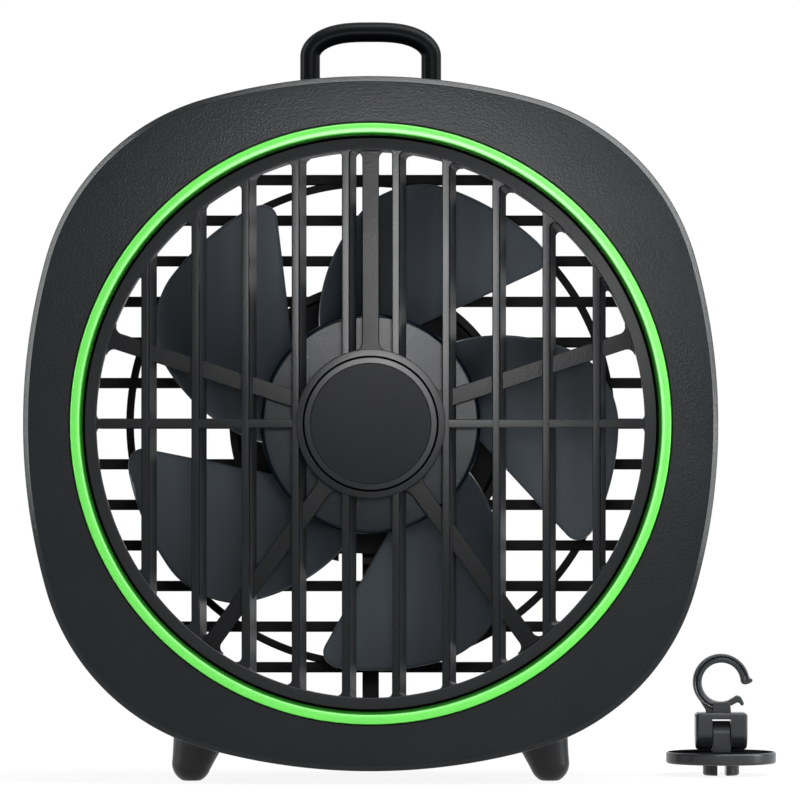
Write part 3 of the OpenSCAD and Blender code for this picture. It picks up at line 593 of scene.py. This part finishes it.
def blade_point(s, t, lift):
    """A point of a blade: s from root to tip, t from the rear edge to the front one."""
    root, tip = 32.2, 76.6
    rear_corner, fore_corner = 0.15, 0.72
    if t < rear_corner:
        tip -= 6.4 * (1 - math.sqrt(1 - (1 - t / rear_corner) ** 2))
    if t > fore_corner:
        tip -= 9.6 * (1 - math.sqrt(1 - ((t - fore_corner) / (1 - fore_corner)) ** 2))
    r = root + s * (tip - root)
    rear = math.radians(70.3) - math.acos(21.2 / r)
    fore = math.radians(73.58 - 27.34 * (r / hub_radius - 1))
    a = rear * (1 - t) + fore * t
    bow = 4 * t * (1 - t)
    y = (41 - 1.5 * s) * (1 - t) + (18 + 4 * s) * t + 1.6 * bow
    return r * math.cos(a), y + lift * (0.55 + 0.45 * bow), r * math.sin(a)


edge_part, tip_part = 0.022, 0.03
edge_steps = [0, 0.001, 0.003, 0.0065, 0.011, 0.016, edge_part]
chord = edge_steps + [edge_part + 0.008 * k for k in range(1, 12)]
chord += [0.12 + 0.04 * k for k in range(15)] + [0.72 + 0.0215 * k for k in range(12)]
chord += [1 - t for t in edge_steps[::-1]]
span = [k / 28 for k in range(28)] + [0.974, 0.981, 0.987, 0.992, 0.996, 0.999, 1.0]
rows = []
for s in span:
    beyond = max(0, s - (1 - tip_part)) / tip_part
    tip = math.sqrt(max(0, 1 - beyond ** 2))
    full = [tip * math.sqrt(1 - (1 - min(t, 1 - t, edge_part) / edge_part) ** 2) for t in chord]
    under = [blade_point(s, t, -f) for t, f in zip(chord, full)]
    over = [blade_point(s, t, f) for t, f in zip(chord, full)]
    rows.append(under + over[::-1])
blade = skin(rows, False)
first_blade, blade_step = 44.5, 72
blades = [moved(blade, Matrix.Rotation(math.radians(-(first_blade + blade_step * k)), 4, "Y"))
          for k in range(5)]
# the blades' tone is painted darker at the front and paler at the rear: painted shade and light;
# their pale edge colour is a painted highlight
blade_plastic = plastic("blade_plastic", (0.067, 0.079, 0.092), rough=0.34, gloss=0.16, cell=0.5,
                        depth=0.014, edge=(0.6, 0.62, 0.65), painted_depth_shade=(25, 40, 0.68, 1.5))
piece("fan_hub", hub, hub_plastic, "rotor", ["impeller"])
piece("fan_blades", merged(*blades), blade_plastic,
      "rotor", ["impeller"], crease=40)

# Cells and controls: two sleeved cells in the lower corners with plated contacts, and a
# board in the upper right corner with the push switch and the charging inlet.
cell_sleeve = plastic("cell_sleeve", (0.03, 0.09, 0.33),
                      rough=0.28, gloss=0.5, cell=3.0, depth=0.01)
for node in ("left_cell", "right_cell"):
    dress(node, cell_sleeve)
dress("cell_contacts", metal("plated_brass", (0.72, 0.56, 0.26), rough=0.35, brushed=(4, 1, 4)))
dress("control_board", board_green)
switch_black = plastic("switch_black", (0.012, 0.012, 0.012),
                       rough=0.45, gloss=0.4, cell=1.2, depth=0.02)
dress("power_switch", switch_black)
dress("switch_plunger", switch_black)


def gloss_plastic(name, colour, rough, deep=None, inner=0, outer=1):
    """Bright plastic with faint flow lines; a deep colour, if given, is painted shade at an inner
    radius that fades out by an outer one.
    """
    rough_spread = 0.08
    finish, wire = blank_finish(name)
    where = wire.add("TexCoord", {}, {}, "Object")
    flow = wire.add("TexNoise", {}, {"Vector": where, "Scale": 60.0, "Detail": 3.0})
    shade = mixed(wire, flow, opaque(colour, 0.94), opaque(colour, 1.05))
    # the deep colour is painted shade, strongest at the inner radius
    if deep:
        place = wire.add("VectorMath", {"operation": "SUBTRACT"}, {0: where, 1: fan})
        flat = wire.add("VectorMath", {"operation": "MULTIPLY"}, {0: place, 1: (1, 0, 1)})
        radius = wire.add("VectorMath", {"operation": "LENGTH"}, {0: flat}, "Value")
        painted_shade_mask = wire.add("MapRange", {"interpolation_type": "SMOOTHSTEP"}, {
            "Value": radius, "From Min": inner / 1000, "From Max": outer / 1000})
        shade = mixed(wire, painted_shade_mask, opaque(deep), shade)
    coat = wire.add("BsdfPrincipled", {}, {
        "Base Color": shade, "Roughness": rough + (flow - 0.5) * rough_spread,
        "Specular IOR Level": 0.5})
    wire.add("OutputMaterial", {}, {"Surface": coat})
    return finish


button_green = gloss_plastic("button_green", (0.13, 0.66, 0.085), rough=0.3)
button = turned(soft([
    (0, 60.2, 0), (1.9, 60.2, 0), (1.9, 62.2, 0), (5.2, 62.2, 0.2), (5.2, 63.7, 0.2),
    (4.4, 63.7, 0), (4.4, 66.9, 0.7), (3.2, 66.9, 0.6), (2.4, 66.45, 0.6), (0, 66.35, 0)], 5), 72)
piece("push_button", beside(button, button_x, button_z), button_green,
      "button", ["power_button"])
sleeve = skin([stadium(4.5, 1.65, 55.6), stadium(4.5, 1.65, 65.7), stadium(4.4, 1.55, 65.8),
               stadium(4.25, 1.4, 65.8), stadium(4.2, 1.35, 65.7), stadium(4.2, 1.35, 58.6)], False)
tongue = skin([stadium(3.3, 0.35, 57.6), stadium(3.3, 0.35, 63.0), stadium(3.2, 0.25, 63.1)], False)
piece("charging_shell", moved(merged(sleeve, tongue), inlet_place), steel,
      "housing", ["usb_socket"])


# Front grille: one moulding of ten upright slats that lean to the right as they go back, the
# band round them, a cross bar, five spokes behind and a boss in the middle. Its front faces
# are polished satin, its walls are matt from the mould; the walls are painted far paler than
# the faces and the band a little paler: painted light.
def band_end(x, s, radius, fillet, steps=7):
    """One side of a bar's upper end, flared by a fillet into the band's inner edge."""
    sunk = 1.2
    cx = x + s * fillet
    cz = math.sqrt((radius - fillet) ** 2 - cx ** 2)
    a0, a1 = math.pi if s > 0 else 0, math.atan2(cz, cx)
    arc = [a0 + (a1 - a0) * k / steps for k in range(steps + 1)]
    points = [(cx + fillet * math.cos(a), cz + fillet * math.sin(a)) for a in arc]
    out = (radius + sunk) / radius
    return points + [(points[-1][0] * out, points[-1][1] * out)]


def slat_loop(x, half, radius, fillets, foot=None):
    """Outline of a slat at x, from the band to the band, or up from a foot."""
    right = band_end(x + half, 1, radius, fillets[0])
    left = band_end(x - half, -1, radius, fillets[1])
    if foot is None:
        under = [(a, -b) for a, b in right[::-1]], [(a, -b) for a, b in left]
    else:
        under = [(x + half, foot)], [(x - half, foot)]
    return under[0] + right + left[::-1] + under[1]


def boss_end(x, s, radius, fillet, steps=7):
    """One side of a spoke's inner end, flared by a fillet into the boss."""
    sunk = 0.95
    cx = x + s * fillet
    cz = math.sqrt((radius + fillet) ** 2 - cx ** 2)
    if s > 0:
        a0, a1 = math.pi, 2 * math.pi - math.atan2(cz, -cx)
    else:
        a0, a1 = 0, math.atan2(-cz, -cx)
    arc = [a0 + (a1 - a0) * k / steps for k in range(steps + 1)]
    points = [(cx + fillet * math.cos(a), cz + fillet * math.sin(a)) for a in arc]
    return points + [(points[-1][0] * sunk, points[-1][1] * sunk)]


band_inner, band_outer, boss_radius, slat_y, depth, drop = 83.6, 87.2, 22.8, 2.0, 11.2, 0.1
# the band's colour is painted paler than the slats' faces: painted light
band_plastic_painted_light = plastic("band_plastic_painted_light", (0.0095, 0.0103, 0.0112),
                       rough=0.24, gloss=0.2, cell=0.8, depth=0.004)
section = soft([(band_inner, 1.65, 0.25), (band_outer, 2.2, 0.25), (band_outer, 4, 0),
                (band_inner, 4, 0)], 5)
piece("grille_band", turned(section, 360), band_plastic_painted_light,
      "housing", ["front_grille"])
rows = []
for r, y in soft([(83.62, 3, 0), (87.15, 3, 0), (87.15, depth, 0.2), (84.0, depth, 0.1)], 5):
    fall = drop * (y - slat_y) if r < 85 else 0
    rows.append([(x, y, z - fall) for x, z in round_hole(r, 360)])
walls, faces = [skin(rows)], []
slat_count, slat_pitch, face_half, wall_half = 10, 15.29, 1.15, 1.13
lean, flare, fillet, end_fillet = 2.15, 0.4, 1.5, 0.5
foot_radius, boss_reach = 20.8, 20
for k in range(slat_count):
    x = (k - (slat_count - 1) / 2) * slat_pitch
    foot = None
    if abs(x) < boss_reach:
        foot = math.sqrt(foot_radius ** 2 - (abs(x) - face_half) ** 2)
    fillets = end_fillet if k == slat_count - 1 else fillet, end_fillet if k == 0 else fillet
    for way in (1, -1) if foot else (1,):
        loops = []
        for t, half in ((0, face_half), (0.11, face_half), (0.07, wall_half), (1, wall_half)):
            outline = slat_loop(x + lean * t, half, band_inner + flare * t, fillets, foot)
            loops.append([(a, way * b - drop * depth * t) for a, b in outline])
        faces.append(plate(loops[0], loops[1], slat_y, 3.2, 0.3))
        walls.append(plate(loops[2], loops[3], 2.8, slat_y + depth, 0.12))
# the walls' colour is painted far paler than the faces: painted light
wall_plastic_painted_light = plastic("wall_plastic_painted_light", (0.034, 0.035, 0.037),
                       rough=0.38, gloss=0.12, cell=0.8, depth=0.008)
piece("grille_walls", merged(*walls), wall_plastic_painted_light,
      "housing", ["front_grille"])
cross_half, cross_y, cross_rear, cross_fillet, cross_foot = 1.35, 2.03, 8.2, 1.2, 21.4
arm = slat_loop(0, cross_half, band_inner, (cross_fillet, cross_fillet), cross_foot)
for s in (1, -1):
    outline = [(s * b, a) for a, b in arm]
    faces.append(plate(outline, outline, cross_y, cross_rear, 0.3))
spoke_plastic = plastic("spoke_plastic", (0.0042, 0.0048, 0.0055),
                        rough=0.19, gloss=0.115, cell=0.6, depth=0.02)
spoke_half, spoke_end, spoke_step = 2.575, 83.4, 72
spoke = (boss_end(spoke_half, 1, boss_radius, 3)[::-1] + band_end(spoke_half, 1, spoke_end, 2.2)
         + band_end(-spoke_half, -1, spoke_end, 2.2)[::-1]
         + boss_end(-spoke_half, -1, boss_radius, 3))
spokes = [plate(spoke, spoke, 7.8, 11.15, 0.25,
                Matrix.Rotation(math.radians(spoke_step * k), 4, "Y")) for k in range(5)]
piece("grille_spokes", merged(*spokes), spoke_plastic,
      "housing", ["front_grille"])
rim_plastic = plastic("rim_plastic", (0.0028, 0.0036, 0.0046),
                      rough=0.2, gloss=0.215, cell=0.8, depth=0.004)
boss = turned(soft([(0, 9, 0), (20.75, 9, 0), (20.75, 0.5, 0.03), (boss_radius, 0.59, 0.3),
                    (boss_radius, 12, 1), (0, 12, 0)]), 288)
piece("grille_boss", boss, rim_plastic, "housing", ["front_grille"])
grille_plastic = plastic("grille_plastic", (0.0055, 0.0062, 0.007),
                         rough=0.15, gloss=0.15, cell=0.8, depth=0.004)
piece("grille_moulding", merged(*faces), grille_plastic,
      "housing", ["front_grille"])

# Grille cap: a plain disc pressed into the boss, matt on its face, with a satin rim that
# falls away slightly. Both are bare.
cap_plastic = plastic("cap_plastic", (0.004, 0.0047, 0.0053),
                      rough=0.25, gloss=0.06, cell=0.5, depth=0.004)
face = turned(soft([(0, -0.4, 0), (18.36, -0.4, 0.12), (18.36, 9, 0), (0, 9, 0)]), 288)
piece("cap_disc", face, cap_plastic, "housing", ["grille_cap"])
rim = turned(soft([(18.2, -0.2, 0.1), (18.56, -0.4, 0.05), (20.12, -0.35, 0.08), (20.12, 9, 0.2),
                   (18.2, 9, 0)]), 288)
piece("cap_rim", rim, rim_plastic, "housing", ["grille_cap"])

# Shade rings: two thin matt black rings, painted shade put where the grooves fall dark, one
# round the cap in the boss and one between the grille's band and the green ring. They sit below the
# faces on both sides.
# matt black with no gloss: painted shade in the grooves
gap_shade_black = plastic("gap_shade_black", (0.002, 0.002, 0.0022),
                     rough=0.9, gloss=0.0, cell=0.8, depth=0.01)
gap_shade_depth = 1.5
gap_shade_shapes = [turned([(a, y), (b, y), (b, y + gap_shade_depth), (a, y + gap_shade_depth)], 288)
         for a, b, y in ((20.08, 20.8, 1.2), (87.15, 87.88, 3.4))]
piece("gap_shade_rings", merged(*gap_shade_shapes), gap_shade_black,
      "housing", ["grille_cap", "front_grille"])

# Front frame: the leather-grained bezel, a shallow tray with a crisp chamfer round its
# rounded-square edge, a groove for the ring and a seat for the grille. Its face is bare.
frame_plastic = plastic("frame_plastic", (0.006, 0.0073, 0.0084),
                        rough=0.19, gloss=0.155, cell=0.55, depth=0.026)
face_rim = 92.2
rings = round_rows([(84.9, duct_y), (84.9, 11.25), (87.85, 11.25), (87.85, 3.7), (91.95, 3.7),
                    (91.95, 0.35), (92.02, 0.12), (face_rim, 0)])
rings += [ring(between(round_hole(face_rim), round_square(1.85), t), 0) for t in (0.3, 0.65)]
rings += square_rows([
    (1.9, 0), (1.72, 0.03), (1.58, 0.12), (0.22, 1.48), (0.09, 1.66), (0, 1.95), (0, 14.5),
    (0.1, 14.9), (0.5, 15.5), (1.4, 16), (6, 16), (6, 13.6), (2.4, 13.6), (2.4, 2.6)])
rings += round_rows([(93.95, 2.6), (93.95, 5.5), (88.5, 5.5), (88.5, duct_y)])
pillar = turned([(1.3, 2.4), (4, 2.4), (4, 21.6), (1.3, 21.6)], 32)
pillars = [beside(pillar, x, z) for x, z in wells]
piece("frame_moulding", merged(skin(rings), *pillars), frame_plastic,
      "housing", ["front_frame"])

# Accent ring: a satin green moulding pressed into the frame's groove, low and crowned on
# its face, with a steep inner side painted darker where it drops into the groove: painted shade.
crown_middle, crown_step, crown_y, crown_fall = 89.95, 0.11, -0.5, 0.0006
bead = [(87.9, 3.65), (87.9, 1.66), (88.33, 0.58), (88.68, -0.33), (88.74, -0.41)]
bead += [(crown_middle + crown_step * k, crown_y + crown_fall * k * k) for k in range(-10, 11)]
bead += [(91.25, -0.34), (91.42, -0.18), (91.55, 0.04), (91.65, 0.36), (91.7, 0.8), (91.7, 3.65)]
# the deep green at the ring's inner side is painted shade
ring_green = gloss_plastic("ring_green", (0.11, 0.6, 0.07), rough=0.2,
                           deep=(0.01, 0.09, 0.007), inner=88.35, outer=89.12)
piece("accent_bead", turned(bead, 432), ring_green, "housing", ["accent_ring"])


# Handle: a bent black rod with a slightly bowed grip, hinged on two steel pins in the
# shell's ears, so that it folds back over the bay.
def rod(path, radius, count=28, ends=5):
    """A round rod along a path in one plane at a depth, with round ends."""
    lines = [Vector(p) for p in path]
    turns = [2 * math.pi * j / count for j in range(count)]
    domes = [math.pi / 2 * k / ends for k in range(ends)]
    rows = []
    for i, p in enumerate(lines):
        way = (lines[min(i + 1, len(lines) - 1)] - lines[max(i - 1, 0)]).normalized()
        across = way.cross(Vector((0, 1, 0))).normalized()
        stops = [(p, radius)]
        if i == 0:
            stops = [(p - way * radius * math.cos(q), radius * math.sin(q)) for q in domes] + stops
        if i == len(lines) - 1:
            stops += [(p + way * radius * math.cos(q), radius * math.sin(q)) for q in domes[::-1]]
        for c, r in stops:
            rows.append([tuple(c + across * r * math.cos(q) + Vector((0, r * math.sin(q), 0)))
                         for q in turns])
    return skin(rows, False)


handle_black = plastic("handle_black", (0.002, 0.0024, 0.0027),
                       rough=0.3, gloss=0.05, cell=2.2, depth=0.006)
leg_x, leg_top, bend_z, bend_rise, rod_radius = 18.7, 107, 113.5, 7.4, 3.08
bend = [math.pi / 2 * k / 28 for k in range(29)]
left = [(-leg_x, hinge_y, hinge_z), (-leg_x, hinge_y, leg_top)]
left += [(-leg_x * math.cos(a) ** 0.68, hinge_y, bend_z + bend_rise * math.sin(a) ** 1.1)
         for a in bend]
grip = left + [(-x, y, z) for x, y, z in left[-2::-1]]
piece("carry_handle", rod(grip, rod_radius), handle_black, "handle", ["handle"])
dress("handle_pins", steel)

# Feet: four short rubber pegs that lean outwards, plugged into the shell's bosses and worn
# flat where they stand.
foot_rubber = plastic("foot_rubber", (0.012, 0.0125, 0.0135),
                      rough=0.36, gloss=0.2, cell=1.5, depth=0.012)
dome, dome_y, ground = 6.05, 9.5, -110
peg = [(0, -5), (3, -5), (3, 0), (8.1, 0), (8.3, 0.2), (7.9, 2), (7.1, 5.2), (6.55, 7.6)]
peg += [(dome * math.cos(math.radians(a)), dome_y + dome * math.sin(math.radians(a)))
        for a in range(5, 91, 5)]
for name, s, y in (("front_left", -1, front_feet_y), ("front_right", 1, front_feet_y),
                   ("rear_left", -1, rear_feet_y), ("rear_right", 1, rear_feet_y)):
    points, sides = moved(turned(peg, 96), foot_place(s, y, 180))
    worn = [(a, b, max(c, ground)) for a, b, c in points]
    piece(name + "_peg", (worn, sides), foot_rubber,
          "housing", [name + "_foot"])

# Hook base: a disc with a split peg below, which snaps into the socket in the hub cover,
# and above it the lug that the hook tilts on. Satin grey plastic, with a thin matt black sheet on
# the disc's top that is painted shade.
low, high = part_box("hook_base")
stand = Vector(((low.x + high.x) / 2, (low.y + high.y) / 2, low.z))
hook_plastic = plastic("hook_plastic", (0.02, 0.0213, 0.0232),
                       rough=0.26, gloss=0.3, cell=0.8, depth=0.008)
disc = turned(soft([(0, 3.7, 0), (17.2, 3.7, 0.8), (17.2, 7.3, 0.6), (0, 7.3, 0)], 6), 144)
peg_radius, peg_sweep, peg_taper, pin_z = 5.7, 75.8, 0.9, 13
prongs = []
for s in (-1, 1):
    turns = [math.radians(-peg_sweep + 2 * peg_sweep * k / 24) for k in range(25)]
    arc = [(s * peg_radius * math.cos(a), peg_radius * math.sin(a)) for a in turns]
    rows = [[(x * peg_taper + s * 0.14, y * peg_taper, 0) for x, y in arc]]
    rows += [[(x, y, z) for x, y in arc] for z in (0.5, 3.9)]
    prongs.append(skin(rows, False))
lug_round, lug_foot, lug_half = 4, 6.6, 2.8
cheek = [(lug_round * math.cos(a), pin_z + lug_round * math.sin(a)) for a in half_turn]
cheek += [(-lug_round, lug_foot), (lug_round, lug_foot)]
lug = plate(cheek, cheek, -lug_half, lug_half, 0.3, sideways)
piece("hook_disc", merged(moved(disc, on_end), *prongs, lug), hook_plastic,
      "hook_stand", ["hook_base"], at=stand)
# a thin matt black sheet over the disc's top: painted shade
disc_top_shade = turned(soft([(0, 7.2, 0), (16.6, 7.2, 0), (16.6, 7.32, 0.05), (0, 7.32, 0)]), 144)
disc_top_shade_black = plastic("disc_top_shade_black", (0.006, 0.0062, 0.0066),
                    rough=0.8, gloss=0.0, cell=0.8, depth=0.02)
piece("hook_disc_shade", moved(disc_top_shade, on_end), disc_top_shade_black,
      "hook_stand", ["hook_base"], at=stand)
dress("hook_pin", steel)

# Hook: a forked block on the pin, and on it an open ring of T section with a gusset on its
# left, a nub at its tip and a hooked lip below its mouth. Same satin plastic.
fork_round, fork_top, bridge_z = 5, 19.6, 17.6
cheek = [(fork_round * math.cos(a), pin_z - fork_round * math.sin(a), 0) for a in half_turn]
cheek = soft(cheek + [(-fork_round, fork_top, 0.7), (fork_round, fork_top, 0.7)])
block = []
for s in (-1, 1):
    rows = []
    for inset, x in ((1.1, 8.1), (0.62, 7.97), (0.26, 7.7), (0.06, 7.3), (0, 6.9), (0, 2.95)):
        rows.append([(s * x, y, z) for y, z in drawn_in(cheek[::-1], inset)])
    block.append(skin(rows, False))
bridge = soft([(-fork_round, bridge_z, 0.2), (fork_round, bridge_z, 0.2),
               (fork_round, fork_top, 0.7), (-fork_round, fork_top, 0.7)])
block.append(skin([[(x, y, z) for y, z in bridge] for x in (-2.97, 2.97)], False))
half = [(6.1, 0), (6.1, -1.5), (6.2, -1.9), (6.5, -2.2), (7.35, -2.35), (7.6, -2.2), (7.72, -1.8),
        (7.86, -1.72), (7.98, -1.9), (8.1, -2.25), (8.3, -2.42), (8.52, -2.38), (8.72, -2.1),
        (8.83, -1.7), (8.87, -1.2), (8.87, 0)]
tee = half + [(r, -y) for r, y in half[-2:0:-1]]
ring_z, ring_from, ring_sweep = 29.1, 3, 287
rows = []
for k in range(97):
    a = math.radians(ring_from + ring_sweep * k / 96)
    rows.append([(r * math.cos(a), y, ring_z + r * math.sin(a)) for r, y in tee])
open_ring = skin(rows, False)


def trim(corner, half_depth, edge, points):
    """A flat trim of the ring, from an outline about the ring's middle."""
    outline = soft([(x, ring_z + z, corner) for x, z in points])
    return plate(outline, outline, -half_depth, half_depth, edge)


nub = trim(0.6, 2.0, 0.45, [
    (6.1, 1.2), (6.15, 0.1), (6.7, -0.6), (7.8, -0.72), (9.0, -0.3), (9.85, 0.25), (9.7, 1.15),
    (8.95, 1.15), (8.8, 2.0), (7.4, 2.4), (6.1, 2.2)])
lip = trim(0.45, 2.0, 0.4, [
    (1.6, -6.2), (2.5, -5.55), (3.8, -4.8), (4.9, -4.1), (6.0, -4.45), (6.65, -5.45),
    (7.15, -6.6), (6.75, -7.4), (6.2, -7.2), (5.75, -6.6), (5.2, -6.3), (4.5, -6.55),
    (3.2, -7.3), (1.6, -7.8)])
gusset = trim(0.3, 1.5, 0.25, [
    (-7.6, -4.4), (-5.7, -7.35), (-4.9, -8.55), (-4.6, -9.9), (-2, -9.9), (-2, -6.6)])
neck = trim(0.25, 2.5, 0.2, [(-2.9, -9.9), (3.1, -9.9), (2.7, -6.2), (-2.5, -6.2)])
piece("hook_ring_piece", merged(*block, open_ring, nub, lip, gusset, neck), hook_plastic,
      "hook_arm", ["hook"], at=stand)
